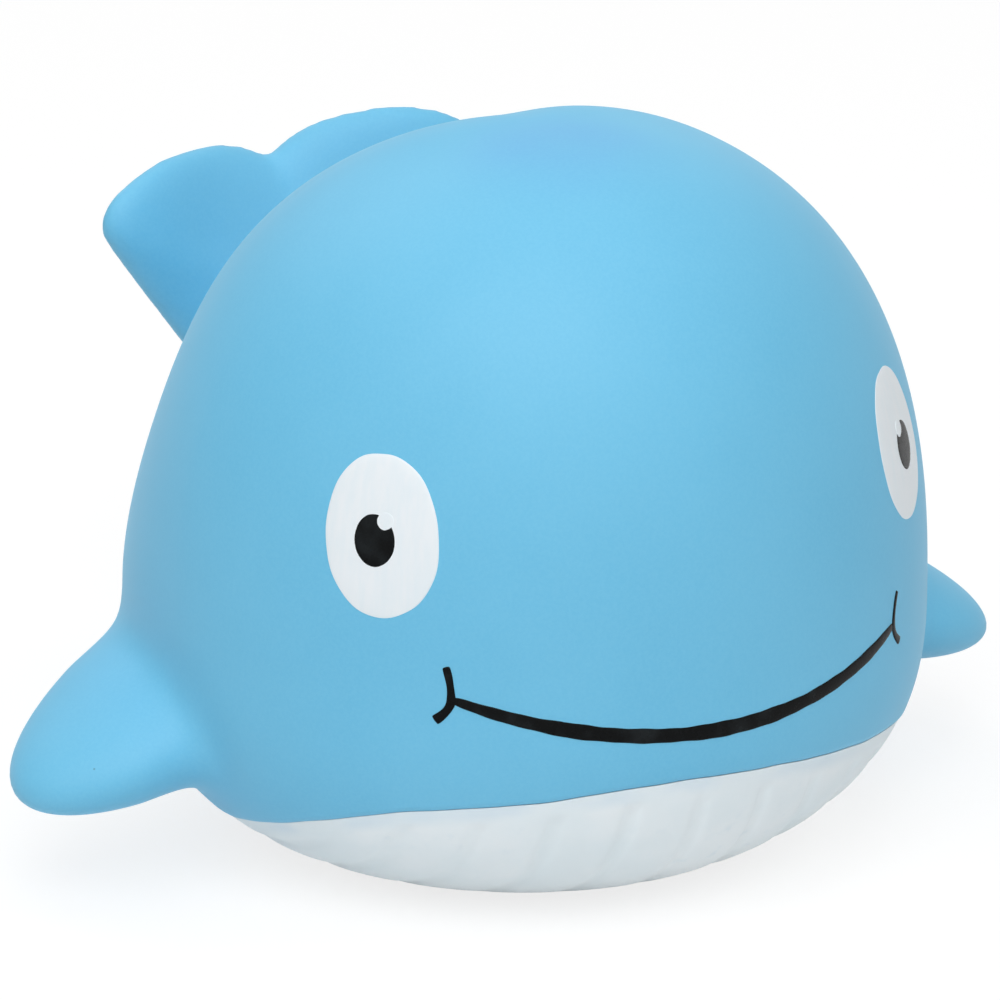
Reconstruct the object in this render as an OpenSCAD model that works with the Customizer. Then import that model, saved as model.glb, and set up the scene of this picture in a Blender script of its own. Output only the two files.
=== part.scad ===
// Squeaky bath toy: a round vinyl whale with painted face, soft crown and a reed squeaker in its base.
// Millimetres. The head looks along -Y, +Z is up, and the squeaker's axis is the Z axis.
// The flat face that the toy stands on lies in the plane z = 0.

/* [Vinyl body] */
// Half width of the body at its widest ring
body_half_w = 42; // [38:0.5:48]
// Reach of the head in front of the squeaker's axis
head_reach = 38; // [34:0.5:44]
// Reach of the back behind the squeaker's axis
back_reach = 41; // [37:0.5:47]
// Height of the widest ring above the table
waist_h = 25.5; // [23:0.5:29]
// Rise of the dome above the widest ring
dome_rise = 51.4; // [49:0.1:58]
// Half width of the flat face that it stands on
rest_half_w = 20; // [17:0.5:23]
// How far the back's flanks sway out at the widest ring and in above it
back_sway = 1.4; // [0:0.1:2.4]
// Wall of the casting
wall = 2.2; // [1.6:0.1:3]
// Floor of the casting, around the squeaker
floor_t = 4.2; // [3.6:0.1:6]

/* [Roundness, where 2 is an ellipse] */
// Dome seen from in front
side_power = 2.3; // [2:0.05:2.8]
// Brow seen from the side
brow_power = 2.9; // [2:0.05:3.4]
// Back seen from the side
back_power = 1.75; // [1.7:0.05:2.6]
// Underside
under_power = 2.55; // [2:0.05:2.9]
// Head seen from above
head_plan_power = 1.9; // [1.7:0.05:2.6]
// Back seen from above
back_plan_power = 2.1; // [1.7:0.05:2.6]

/* [Squeeze] */
// Height at which the wall starts to give
flex_z = 53; // [52:0.5:56]
// Height of the crown's lower edge
crown_z = 68; // [66:0.5:71]

/* [Belly paint] */
// Height of the paint line on the squeaker's axis
belly_line_h = 7.9; // [6.5:0.1:10]
// Slope of the paint line, which rises to the front
belly_tilt = 15; // [10:0.5:18]

/* [Fins] */
// Tip to tip over both fins
fin_span = 113.5; // [106:0.5:122]
// Long axis of a fin, with the root that the body hides
fin_len = 66.5; // [58:0.5:72]
// Chord of a fin at the middle of its long axis
fin_chord = 29.5; // [24:0.5:34]
// Thickness of a fin at the middle of its long axis
fin_thick = 15; // [11:0.2:17]
// How far behind the squeaker's axis a fin's middle lies
fin_back = 10; // [5:0.5:15]
// Height of a fin's middle
fin_h = 22.9; // [20:0.1:26]
// How far the tip droops
fin_droop = 19.4; // [12:0.1:24]
// How far the tip turns to the front
fin_yaw = 11.3; // [2:0.1:20]

/* [Tail] */
// Half width of the tail's stock where it leaves the body
stock_half_w = 8.8; // [8:0.1:13]
// Half thickness of the stock
stock_half_t = 8; // [6:0.5:10]
// Half thickness of the flukes
fluke_half_t = 4.8; // [3:0.2:5.6]
// Half span of the flukes
fluke_half_span = 23; // [21:0.5:27]
// Length from the stock's root to the notch
notch_len = 39.5; // [36:0.5:41]
// Length from the stock's root to the flukes' tips
tip_len = 37; // [33:0.5:39]
// Length from the stock's root to the top of each lobe
lobe_len = 43; // [42:0.5:47]
// How far each lobe's top is from the middle
lobe_offset = 12.7; // [10:0.1:14]
// Length of the stock before it flares
flare_start = 14; // [10:0.5:18]
// How far the flare's curve stays inside each tip, across the tail
flare_in = 7; // [3:0.5:9]
// How far the flare's curve stays below each tip
flare_down = 11.7; // [8:0.1:14]
// How far each tip's round swells outwards
tip_out = 1.4; // [0:0.1:2]
// How far each tip's round runs up
tip_up = 3.5; // [3:0.5:6]
// How far each lobe's round runs to either side
lobe_round = 5; // [4:0.5:8]
// How far the notch's sides open
notch_open = 2.7; // [1:0.1:5]
// How far the notch's sides rise
notch_rise = 2.5; // [1.5:0.5:4]
// How far the flukes cup to the front at their tips
fluke_cup = 5.5; // [3:0.5:9]
// Place of the stock's root behind the squeaker's axis
tail_root_y = 37.5; // [35:0.5:40]
// Height of the stock's root
tail_root_z = 25.3; // [22:0.1:29]
// How far the tail is rolled over to the right side
tail_roll = 4.7; // [-6:0.1:6]
// Lean of the stock back from upright, at its root
tail_lean = 62; // [50:1:66]

/* [Face paint] */
// Thickness of a paint film
film_t = 0.25; // [0.15:0.05:0.4]
// Gap between a film and what it lies on
film_gap = 0.03; // [0.02:0.01:0.06]
// Direction of the right eye, from straight ahead
right_eye_angle = 51.7; // [44:0.1:58]
// Direction of the left eye, from straight ahead
left_eye_angle = 48; // [44:0.1:58]
// Height of the right eye's middle
right_eye_h = 43.9; // [42:0.1:46]
// Height of the left eye's middle
left_eye_h = 45.3; // [42:0.1:46]
// How far the right eye's top leans to the toy's right
right_eye_lean = 7; // [-15:1:15]
// How far the left eye's top leans to the toy's right
left_eye_lean = 11; // [-15:1:15]
// Width of an eye
eye_w = 11.8; // [9:0.1:14]
// Height of an eye
eye_tall = 16.3; // [12:0.1:17]
// How much narrower an eye's top is than its bottom
eye_egg = 0.03; // [0:0.01:0.15]
// Width of a pupil
pupil_w = 4.1; // [3:0.1:6]
// Height of a pupil
pupil_tall = 5.3; // [4:0.1:7]
// How far a pupil lies outwards of its eye's middle
pupil_out = 0.6; // [0:0.1:1.5]
// How far a pupil lies below its eye's middle
pupil_drop = 0.4; // [0:0.1:1.5]
// Diameter of the glint in a pupil
glint_d = 1.7; // [1:0.1:2.2]
// How far the glint lies inwards of the pupil's middle
glint_in = 1; // [0:0.1:1.2]
// How far the glint lies above the pupil's middle
glint_up = 2; // [1:0.1:2.2]
// Height of the smile's lowest point
smile_h = 23.2; // [22:0.1:26]
// Rise of the smile to its corners
smile_rise = 4.8; // [2:0.1:6]
// Width of the smile's brush line
smile_w = 1.4; // [0.9:0.1:2]
// Direction of the smile's corners, from straight ahead
corner_angle = 40; // [34:1:43]
// Length of a corner's tick
corner_len = 5.5; // [4:0.1:7]
// Width of a corner's tick
corner_w = 0.8; // [0.6:0.1:1.2]
// How far a tick's upper end bends outwards
corner_bow_top = 0.7; // [0:0.1:2]
// How far a tick's lower end bends outwards
corner_bow_low = 1.8; // [0:0.1:3]
// How much a tick thins out to its ends
corner_taper = 0.35; // [0:0.05:0.6]

/* [Squeaker] */
// Diameter of the plug's flange
flange_d = 20; // [18.5:0.5:23]
// Thickness of the plug's flange
flange_t = 1.6; // [1.2:0.1:1.9]
// Depth of the recess that takes the flange
recess_depth = 2; // [1.9:0.1:2.4]
// Diameter of the plug's neck
neck_d = 14; // [13.6:0.2:16]
// Gap around the flange and the neck
plug_gap = 0.1; // [0.05:0.05:0.3]
// How far the snap rim stands out from the neck
snap_out = 1.2; // [0.8:0.1:1.6]
// Height of the snap rim's taper
snap_h = 2.6; // [2:0.1:3.5]
// Bore of the barrel that holds the reed
bore_d = 10; // [9:0.2:11]
// Wall of the barrel
barrel_wall = 1.2; // [1:0.1:1.6]
// Height of the barrel's end above the table
barrel_h = 15; // [14.4:0.2:18]
// Diameter of the air inlet
inlet_d = 3.6; // [3:0.2:4.2]
// Floor of the barrel above the flange's underside
inlet_len = 2.8; // [2:0.1:3.4]
// Gap around the pieces in the barrel
reed_fit = 0.05; // [0.03:0.01:0.1]
// Thickness of the reed
reed_t = 0.2; // [0.15:0.05:0.3]
// Width of the reed
reed_w = 5; // [4.4:0.2:6]
// Length of the reed that is clamped
reed_foot_len = 3; // [2.4:0.2:3.6]
// Gap under the resting tongue, and at its tip
reed_rest_gap = 0.35; // [0.3:0.05:0.5]
// Gap over the resting tongue
reed_swing_gap = 1.3; // [1.1:0.1:1.6]
// Gap between the clamped foot and the free tongue
reed_end_gap = 0.05; // [0.04:0.01:0.1]
// Thickness of the disc under the reed
seat_disc_t = 1; // [0.8:0.1:1.4]
// Width of the air channels
channel_w = 3; // [2.4:0.2:3.4]
// Depth of the air channels
channel_depth = 2.2; // [1.6:0.1:2.4]
// Thickness of the vent cap's rim
cap_t = 1.4; // [1:0.1:2]
// Length of the vent cap's spigot
spigot_len = 1; // [0.8:0.1:1.6]
// Diameter of the vent hole
vent_d = 2; // [1.4:0.1:2.2]

/* [Hidden] */

$fn = 64;
vinyl_blue = "#79C3E8";
fin_blue = "#78C0E4";
paint_white = "#E2EDF3";
paint_black = "#23272A";
plug_white = "#E8E8E2";
reed_brass = "#C9A64B";

// Larger than the toy in every direction
big = 4 * body_half_w;
// How far a cut runs past the face that it opens
past = 1;
// How far the tail's form reaches down into the body
root_sink = 8;
// Handle of a curve that makes a quarter turn, as a share of its reach
quarter = 0.55;
// Place of the flukes' thickest point, as a share of the length to the tips
swell_at = 0.6;
// Lift of a pupil over the eye white, and of a glint over the pupil
pupil_lift = 2 * film_gap + film_t;
glint_lift = pupil_lift + film_gap + film_t;
// Points around a film
film_sides = 32;
// Facets around the skin, and rows over and under its widest ring
skin_sides = 60;
dome_rows = 16;
keel_rows = 7;
// Turn of the sway's wave from the widest ring to the top
sway_turn = 382;
// The underside's depth if it were not cut flat
keel_drop = waist_h / lame(rest_half_w / body_half_w, under_power);

// A quarter of a superellipse: its reach at a share u of its other axis
function lame(u, power) = pow(max(0, 1 - pow(min(1, u), power)), 1 / power);

// Reach of the widest ring in a direction, 0 along +X and 90 along +Y
function ring_reach(dir, inset) =
    let (c = abs(cos(dir)), s = sin(dir))
    let (along = (s < 0 ? head_reach : back_reach) - inset)
    let (power = s < 0 ? head_plan_power : back_plan_power)
    pow(pow(c / (body_half_w - inset), power) + pow(abs(s) / along, power), -1 / power);

// Squareness of the dome in a direction
function dome_power(dir) =
    let (s = sin(dir))
    side_power + ((s < 0 ? brow_power : back_power) - side_power) * s * s;

// Distance of the skin from the Z axis
function skin_reach(dir, z, inset) =
    let (up = max(0, z - waist_h) / (dome_rise - inset))
    let (sway = back_sway * max(0, sin(dir)) * cos(sway_turn * up))
    let (shape = z >= waist_h
        ? lame(up, dome_power(dir))
        : lame((waist_h - z) / (keel_drop - inset), under_power))
    (ring_reach(dir, inset) + sway) * shape;

function skin_point(dir, z, inset) =
    let (r = skin_reach(dir, z, inset))
    [r * cos(dir), r * sin(dir), z];

// Rows of two triangles between rings of n points, from ring first to ring last
function ring_faces(n, first, last) = [
    for (j = [first : last - 1], i = [0 : n - 1])
    let (a = j * n + i, b = j * n + (i + 1) % n)
    each [[a, b, b + n], [a, b + n, a + n]]];

// The closed form of the skin, set in by inset and cut flat at bottom_z
module skin(inset, bottom_z) {
    drop = keel_drop - inset;
    cut = asin((waist_h - bottom_z) / drop);
    heights = concat(
        [for (j = [0 : keel_rows - 1]) waist_h - drop * sin(cut * (1 - j / keel_rows))],
        [for (j = [0 : dome_rows - 1]) waist_h + (dome_rise - inset) * sin(90 * j / dome_rows)]);
    n = skin_sides;
    last = len(heights) - 1;
    points = concat(
        [for (z = heights, i = [0 : n - 1]) skin_point(i * 360 / n, max(z, bottom_z), inset)],
        [[0, 0, waist_h + dome_rise - inset]]);
    faces = concat(
        [[for (i = [0 : n - 1]) n - 1 - i]],
        ring_faces(n, 0, last),
        [for (i = [0 : n - 1]) [last * n + i, last * n + (i + 1) % n, (last + 1) * n]]);
    polyhedron(points, [for (f = faces) [for (k = [len(f) - 1 : -1 : 0]) f[k]]]);
}

// The part of the casting's wall that lies inside the given space
module casting() {
    difference() {
        intersection() {
            skin(0, 0);
            children();
        }
        skin(wall, floor_t);
        squeaker_hole();
    }
}

module squeaker_hole() {
    translate([0, 0, -past])
        cylinder(d = flange_d + 2 * plug_gap, h = recess_depth + past);
    translate([0, 0, -past])
        cylinder(d = neck_d + 2 * plug_gap, h = floor_t + 2 * past);
}

module between_heights(low, high) {
    translate([-big, -big, low])
        cube([2 * big, 2 * big, high - low]);
}

module below_paint_line() {
    translate([0, 0, belly_line_h])
        rotate([-belly_tilt, 0, 0])
        translate([-big, -big, -2 * big])
        cube(2 * big);
}

module crown() {
    color(vinyl_blue)
        casting() between_heights(crown_z, big);
}

module flex_wall() {
    color(vinyl_blue)
        casting() between_heights(flex_z, crown_z);
}

module body_shell() {
    color(vinyl_blue)
        casting() difference() {
            between_heights(-big, flex_z);
            below_paint_line();
        }
}

module belly_pan() {
    color(paint_white)
        casting() below_paint_line();
}

// A fin's paddle: rings along its long axis, from the hidden root to the tip
module fin_form() {
    n = 28;
    rows = 14;
    points = concat(
        [[-fin_len / 2, 0, 0]],
        [for (j = [1 : rows - 1], i = [0 : n - 1])
            let (lat = -90 + 180 * j / rows, a = i * 360 / n)
            [fin_len / 2 * sin(lat),
             fin_chord / 2 * cos(lat) * cos(a),
             fin_thick / 2 * cos(lat) * sin(a)]],
        [[fin_len / 2, 0, 0]]);
    top = len(points) - 1;
    faces = concat(
        [for (i = [0 : n - 1]) [0, 1 + i, 1 + (i + 1) % n]],
        [for (f = ring_faces(n, 0, rows - 2)) [for (k = [2 : -1 : 0]) f[k] + 1]],
        [for (i = [0 : n - 1]) [top, top - n + (i + 1) % n, top - n + i]]);
    polyhedron(points, faces);
}

// side is 1 on +X and -1 on -X
module fin(side) {
    middle_x = fin_span / 2 - fin_len / 2 * cos(fin_droop) * cos(fin_yaw);
    color(fin_blue)
        difference() {
            mirror([side < 0 ? 1 : 0, 0, 0])
                translate([middle_x, fin_back, fin_h])
                rotate([0, fin_droop, -fin_yaw])
                fin_form();
            skin(0, 0);
        }
}

function bezier(p, t) =
    pow(1 - t, 3) * p[0] + 3 * t * pow(1 - t, 2) * p[1] + 3 * t * t * (1 - t) * p[2] + pow(t, 3) * p[3];

// Half of the tail's outline, laid flat: across the stock and along it
function fluke_edge() = [
    [[0, -root_sink], [stock_half_w * quarter, -root_sink],
     [stock_half_w, -root_sink * quarter], [stock_half_w, 0]],
    [[stock_half_w, 0], [stock_half_w, flare_start],
     [fluke_half_span - flare_in, tip_len - flare_down], [fluke_half_span, tip_len]],
    [[fluke_half_span, tip_len], [fluke_half_span + tip_out, tip_len + tip_up],
     [lobe_offset + lobe_round, lobe_len], [lobe_offset, lobe_len]],
    [[lobe_offset, lobe_len], [lobe_offset - lobe_round, lobe_len],
     [notch_open, notch_len + notch_rise], [0, notch_len]]];

// The stock leans back and then stands up; the flukes cup forward from their middle
function tail_place(x, along, off) =
    let (lean = tail_lean * max(0, 1 - along / lobe_len))
    let (y = along * sin((tail_lean + lean) / 2))
    let (z = along * cos((tail_lean + lean) / 2))
    let (cup = fluke_cup * pow(sin(90 * min(1, abs(x) / fluke_half_span)), 2) * max(0, along) / lobe_len)
    [x, y - cup + off * cos(lean), z - off * sin(lean)];

// The tail as one cushion-shaped form, with its far end inside the body
module tail_form() {
    steps = 8;
    rows = 6;
    mid = [0, tip_len * swell_at];
    half = [for (c = fluke_edge(), k = [0 : steps - 1]) bezier(c, k / steps)];
    m = len(half);
    edge = concat(half, [[0, notch_len]], [for (i = [m - 1 : -1 : 1]) [-half[i][0], half[i][1]]]);
    n = len(edge);
    function half_t(along) =
        let (s = max(0, min(1, along / tip_len)))
        stock_half_t + (fluke_half_t - stock_half_t) * s * s * (3 - 2 * s);
    function layer(r, sign) = [for (e = edge)
        let (p = mid + r * (e - mid))
        tail_place(p[0], p[1], sign * half_t(p[1]) * sqrt(1 - r * r))];
    radii = [for (j = [1 : rows]) sin(90 * j / rows)];
    points = concat(
        [tail_place(mid[0], mid[1], -half_t(mid[1]))],
        [for (r = radii) each layer(r, -1)],
        [for (j = [rows - 2 : -1 : 0]) each layer(radii[j], 1)],
        [tail_place(mid[0], mid[1], half_t(mid[1]))]);
    top = len(points) - 1;
    faces = concat(
        [for (i = [0 : n - 1]) [0, 1 + (i + 1) % n, 1 + i]],
        [for (f = ring_faces(n, 0, 2 * rows - 2)) [for (k = [0 : 2]) f[k] + 1]],
        [for (i = [0 : n - 1]) [top, top - n + i, top - n + (i + 1) % n]]);
    polyhedron(points, faces);
}

module tail_flukes() {
    color(fin_blue)
        difference() {
            translate([0, tail_root_y, tail_root_z + lobe_len / 2])
                rotate([0, -tail_roll, 0])
                translate([0, 0, -lobe_len / 2])
                tail_form();
            skin(0, 0);
        }
}

// Degrees around the skin that span a length at a place on it
function turn_of(length, dir, z) = length / skin_reach(dir, z, 0) * 180 / PI;

// A film of paint inside a closed outline, which is a list of [across, up] from its middle
module film(dir, z, outline, under, rows) {
    n = len(outline);
    function at(r, i, lift) =
        let (up = z + r * outline[i][1])
        skin_point(dir + turn_of(r * outline[i][0], dir, z), up, -lift);
    function side(lift) = concat(
        [skin_point(dir, z, -lift)],
        [for (j = [1 : rows], i = [0 : n - 1]) at(j / rows, i, lift)]);
    base = 1 + rows * n;
    points = concat(side(under + film_t), side(under));
    fan = [for (i = [0 : n - 1]) [0, 1 + (i + 1) % n, 1 + i]];
    cover = concat(fan, rows > 1
        ? [for (f = ring_faces(n, 0, rows - 1)) [for (k = [0 : 2]) f[k] + 1]]
        : []);
    rim = 1 + (rows - 1) * n;
    faces = concat(
        cover,
        [for (f = cover) [for (k = [2 : -1 : 0]) f[k] + base]],
        [for (i = [0 : n - 1])
            let (a = rim + i, b = rim + (i + 1) % n)
            each [[a, b, b + base], [a, b + base, a + base]]]);
    polyhedron(points, faces);
}

// An oval outline, narrower at its top by the share egg, with its top leaning to the toy's right
function oval(w, tall, egg, lean) = [for (i = [0 : film_sides - 1])
    let (a = i * 360 / film_sides)
    let (x = w / 2 * cos(a) * (1 - egg * sin(a)), y = tall / 2 * sin(a))
    [x * cos(lean) - y * sin(lean), x * sin(lean) + y * cos(lean)]];

// Direction, height and lean of an eye's middle: side is 1 on the left and -1 on the right
function eye_dir(side) = -90 + (side < 0 ? -right_eye_angle : left_eye_angle);
function eye_z(side) = side < 0 ? right_eye_h : left_eye_h;
function eye_lean(side) = side < 0 ? right_eye_lean : left_eye_lean;

// Direction of a place that lies outwards of an eye's middle
function eye_beside(side, out) = eye_dir(side) + side * turn_of(out, eye_dir(side), eye_z(side));

module eye_white(side) {
    color(paint_white)
        film(eye_dir(side), eye_z(side),
            oval(eye_w, eye_tall, eye_egg, eye_lean(side)), film_gap, rows = 4);
}

module pupil(side) {
    color(paint_black)
        film(eye_beside(side, pupil_out), eye_z(side) - pupil_drop,
            oval(pupil_w, pupil_tall, 0, eye_lean(side)), pupil_lift, rows = 2);
}

module eye_glints() {
    color(paint_white)
        for (side = [-1, 1])
            film(eye_beside(side, pupil_out - glint_in), eye_z(side) - pupil_drop + glint_up,
                oval(glint_d, glint_d, 0, 0), glint_lift, rows = 1);
}

// A brush stroke along a path of [direction, height, width]
module stroke(path) {
    n = len(path);
    function heading(i) =
        let (a = path[max(0, i - 1)], b = path[min(n - 1, i + 1)])
        let (across = (b[0] - a[0]) / turn_of(1, a[0], a[1]), up = b[1] - a[1])
        [across, up] / norm([across, up]);
    function at(i, s, lift) =
        let (h = heading(i), half = path[i][2] / 2 * s)
        skin_point(path[i][0] - turn_of(h[1] * half, path[i][0], path[i][1]),
            path[i][1] + h[0] * half, -lift);
    points = [for (i = [0 : n - 1]) each [
        at(i, -1, film_gap), at(i, 1, film_gap),
        at(i, 1, film_gap + film_t), at(i, -1, film_gap + film_t)]];
    end = 4 * (n - 1);
    polyhedron(points, concat(
        [[0, 1, 2], [0, 2, 3], [end, end + 2, end + 1], [end, end + 3, end + 2]],
        [for (f = ring_faces(4, 0, n - 1)) [for (k = [2 : -1 : 0]) f[k]]]));
}

module smile_line() {
    steps = 40;
    corner_z = smile_h + smile_rise;
    reach = corner_angle - turn_of(corner_w / 2 + 2 * film_gap, -90 + corner_angle, corner_z);
    color(paint_black)
        stroke([for (i = [0 : steps])
            let (t = 2 * i / steps - 1)
            [-90 + reach * t, smile_h + smile_rise * t * t,
             corner_w + (smile_w - corner_w) * (1 - t * t)]]);
}

module smile_corners() {
    steps = 8;
    corner_z = smile_h + smile_rise;
    color(paint_black)
        for (side = [-1, 1])
            stroke([for (i = [0 : steps])
                let (t = 2 * i / steps - 1)
                let (bend = t < 0 ? corner_bow_top : corner_bow_low)
                let (bow = turn_of(bend * t * t, -90 + corner_angle, corner_z))
                [-90 + side * (corner_angle + bow), corner_z - t * corner_len / 2,
                 corner_w * (1 - corner_taper * t * t)]]);
}

// Heights in the squeaker, from the table up
flange_z = recess_depth - flange_t;
barrel_floor = flange_z + inlet_len;
seat_z = barrel_floor + seat_disc_t;
capsule_top = barrel_h - spigot_len;
reed_root = capsule_top - reed_foot_len;
capsule_r = bore_d / 2 - reed_fit;
barrel_r = bore_d / 2 + barrel_wall;

module squeaker_plug() {
    color(plug_white)
        rotate_extrude()
        polygon([
            [inlet_d / 2, flange_z], [flange_d / 2, flange_z],
            [flange_d / 2, recess_depth], [neck_d / 2, recess_depth],
            [neck_d / 2, floor_t], [neck_d / 2 + snap_out, floor_t],
            [barrel_r, floor_t + snap_h], [barrel_r, barrel_h],
            [bore_d / 2, barrel_h], [bore_d / 2, barrel_floor],
            [inlet_d / 2, barrel_floor]]);
}

// Half of the round capsule on one side of the reed: side is -1 under it and 1 over it
module capsule_half(side, z) {
    intersection() {
        translate([0, 0, z])
            cylinder(r = capsule_r, h = capsule_top - z);
        translate([-bore_d, side < 0 ? -bore_d - reed_t / 2 : reed_t / 2, z])
            cube([2 * bore_d, bore_d, capsule_top - z]);
    }
}

// The space beside the tongue, from the reed's face out to the given depth
module reed_space(side, depth, z) {
    translate([-bore_d, side < 0 ? -depth : 0, z])
        cube([2 * bore_d, depth, reed_root - z]);
}

module reed_seat() {
    face = reed_t / 2 + reed_rest_gap;
    color(plug_white)
        difference() {
            union() {
                translate([0, 0, barrel_floor])
                    cylinder(r = capsule_r, h = seat_disc_t);
                capsule_half(-1, seat_z);
            }
            reed_space(-1, face, seat_z);
            translate([-channel_w / 2, -face - channel_depth, barrel_floor - past])
                cube([channel_w, channel_depth, reed_root - barrel_floor]);
        }
}

module reed_clamp() {
    face = reed_t / 2 + reed_swing_gap;
    color(plug_white)
        difference() {
            capsule_half(1, seat_z);
            reed_space(1, face, seat_z);
            translate([-channel_w / 2, face, seat_z - past])
                cube([channel_w, channel_depth, capsule_top - seat_z + 2 * past]);
        }
}

module reed_foot() {
    color(reed_brass)
        translate([-reed_w / 2, -reed_t / 2, reed_root])
        cube([reed_w, reed_t, reed_foot_len]);
}

module reed_tongue() {
    tip_z = seat_z + reed_rest_gap;
    color(reed_brass)
        translate([-reed_w / 2, -reed_t / 2, tip_z])
        cube([reed_w, reed_t, reed_root - reed_end_gap - tip_z]);
}

module vent_cap() {
    channel_mid = reed_t / 2 + reed_swing_gap + channel_depth / 2;
    color(plug_white)
        difference() {
            union() {
                translate([0, 0, barrel_h])
                    cylinder(r = barrel_r, h = cap_t);
                translate([0, 0, capsule_top])
                    cylinder(r = capsule_r, h = spigot_len);
            }
            translate([0, channel_mid, capsule_top - past])
                cylinder(d = vent_d, h = spigot_len + cap_t + 2 * past);
        }
}

crown();
flex_wall();
body_shell();
belly_pan();
fin(-1);  // right_fin
fin(1);  // left_fin
tail_flukes();
eye_white(-1);  // right_eye_white
eye_white(1);  // left_eye_white
pupil(-1);  // right_pupil
pupil(1);  // left_pupil
eye_glints();
smile_line();
smile_corners();
squeaker_plug();
reed_seat();
reed_clamp();
reed_foot();
reed_tongue();
vent_cap();
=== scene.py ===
"""Looks of a squeaky vinyl bath whale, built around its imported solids. All lengths are in metres."""
import math

import bmesh
import bpy
import numpy as np
from mathutils import Matrix, Vector
from mathutils.bvhtree import BVHTree
from mathutils.kdtree import KDTree


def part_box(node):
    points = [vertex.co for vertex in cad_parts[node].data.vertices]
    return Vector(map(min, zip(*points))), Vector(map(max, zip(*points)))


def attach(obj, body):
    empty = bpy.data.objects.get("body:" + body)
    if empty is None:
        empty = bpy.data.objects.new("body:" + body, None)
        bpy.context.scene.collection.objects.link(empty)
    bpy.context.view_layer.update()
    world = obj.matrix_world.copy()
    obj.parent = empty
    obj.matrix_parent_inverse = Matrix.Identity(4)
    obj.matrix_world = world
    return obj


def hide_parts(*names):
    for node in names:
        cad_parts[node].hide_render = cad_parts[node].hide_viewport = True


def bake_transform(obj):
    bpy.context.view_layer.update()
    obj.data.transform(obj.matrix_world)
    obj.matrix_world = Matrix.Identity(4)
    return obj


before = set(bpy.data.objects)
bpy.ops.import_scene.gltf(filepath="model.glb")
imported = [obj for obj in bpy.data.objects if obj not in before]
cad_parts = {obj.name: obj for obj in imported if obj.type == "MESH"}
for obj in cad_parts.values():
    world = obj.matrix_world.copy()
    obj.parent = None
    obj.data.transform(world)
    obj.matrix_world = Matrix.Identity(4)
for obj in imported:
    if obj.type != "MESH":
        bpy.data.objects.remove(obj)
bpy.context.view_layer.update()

MM = 0.001

# The body's form: the sizes that its skin rule takes
shell_low, shell_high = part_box("body_shell")
SWAY = 1.4 * MM
WAIST_H = 25.5 * MM
TOP_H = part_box("crown")[1].z
BODY = {
    "half width": shell_high.x,
    "head reach": -shell_low.y,
    "back reach": shell_high.y - SWAY,
    "waist height": WAIST_H,
    "dome rise": TOP_H - WAIST_H,
    "rest half width": 20 * MM,
    "back sway": SWAY,
    "sway turn": math.radians(382),
    "side power": 2.3,
    "brow power": 2.9,
    "back power": 1.75,
    "under power": 2.55,
    "head plan power": 1.9,
    "back plan power": 2.1,
}
WALL = 2.2 * MM
LINE_HALVINGS = 40

# The paint line: a sloping plane with a hand's waver. Each wave has its count, its swing and its phase.
LINE_H = 7.9 * MM
LINE_SLOPE = math.tan(math.radians(15))
LINE_WAVES = ((1, 0.07 * MM, -2.15), (2, 0.11 * MM, -0.11), (3, 0.13 * MM, 1.85), (4, 0.09 * MM, -2.47),
              (6, 0.09 * MM, -1.89), (7, 0.12 * MM, 0.08), (9, 0.05 * MM, -1.51), (11, 0.05 * MM, 2.89),
              (23, 0.03 * MM, 1.3), (41, 0.02 * MM, 0.4))

# Fins: ellipsoids that droop and turn to the front
FIN_LEN = 66.5 * MM
FIN_CHORD = 29.5 * MM
FIN_THICK = 15 * MM
FIN_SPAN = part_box("left_fin")[1].x * 2
FIN_BACK = 10 * MM
FIN_H = 22.9 * MM
FIN_DROOP = math.radians(19.4)
FIN_YAW = math.radians(11.3)

# Tail: a cushion on a leaning stock
STOCK_HALF_W = 8.8 * MM
STOCK_HALF_T = 8 * MM
FLUKE_HALF_T = 4.8 * MM
FLUKE_HALF_SPAN = 23 * MM
NOTCH_LEN = 39.5 * MM
TIP_LEN = 37 * MM
LOBE_LEN = 43 * MM
LOBE_OFFSET = 12.7 * MM
FLARE_START = 14 * MM
FLARE_IN = 7 * MM
FLARE_DOWN = 11.7 * MM
TIP_OUT = 1.4 * MM
TIP_UP = 3.5 * MM
LOBE_ROUND = 5 * MM
NOTCH_OPEN = 2.7 * MM
NOTCH_RISE = 2.5 * MM
ROOT_SINK = 8 * MM
QUARTER = 0.55
CURVE_STEPS = 24
CUSHION_ROWS = 19
SWELL_AT = 0.6
FLUKE_CUP = 5.5 * MM
TAIL_ROOT = Vector((0, 37.5 * MM, 25.3 * MM))
TAIL_ROLL = math.radians(4.7)
TAIL_LEAN = math.radians(62)


class Wire:
    """A node's output. Arithmetic on it adds Math nodes to its graph."""

    def __init__(self, graph, output):
        self.graph = graph
        self.output = output

    def math(self, operation, *values):
        return self.graph.add("ShaderNodeMath", dict(enumerate(values)), operation=operation)

    def __add__(self, other):
        return self.math("ADD", self, other)

    def __radd__(self, other):
        return self.math("ADD", other, self)

    def __sub__(self, other):
        return self.math("SUBTRACT", self, other)

    def __rsub__(self, other):
        return self.math("SUBTRACT", other, self)

    def __mul__(self, other):
        return self.math("MULTIPLY", self, other)

    def __rmul__(self, other):
        return self.math("MULTIPLY", other, self)

    def __truediv__(self, other):
        return self.math("DIVIDE", self, other)

    def __rtruediv__(self, other):
        return self.math("DIVIDE", other, self)

    def __pow__(self, other):
        return self.math("POWER", self, other)


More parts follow.
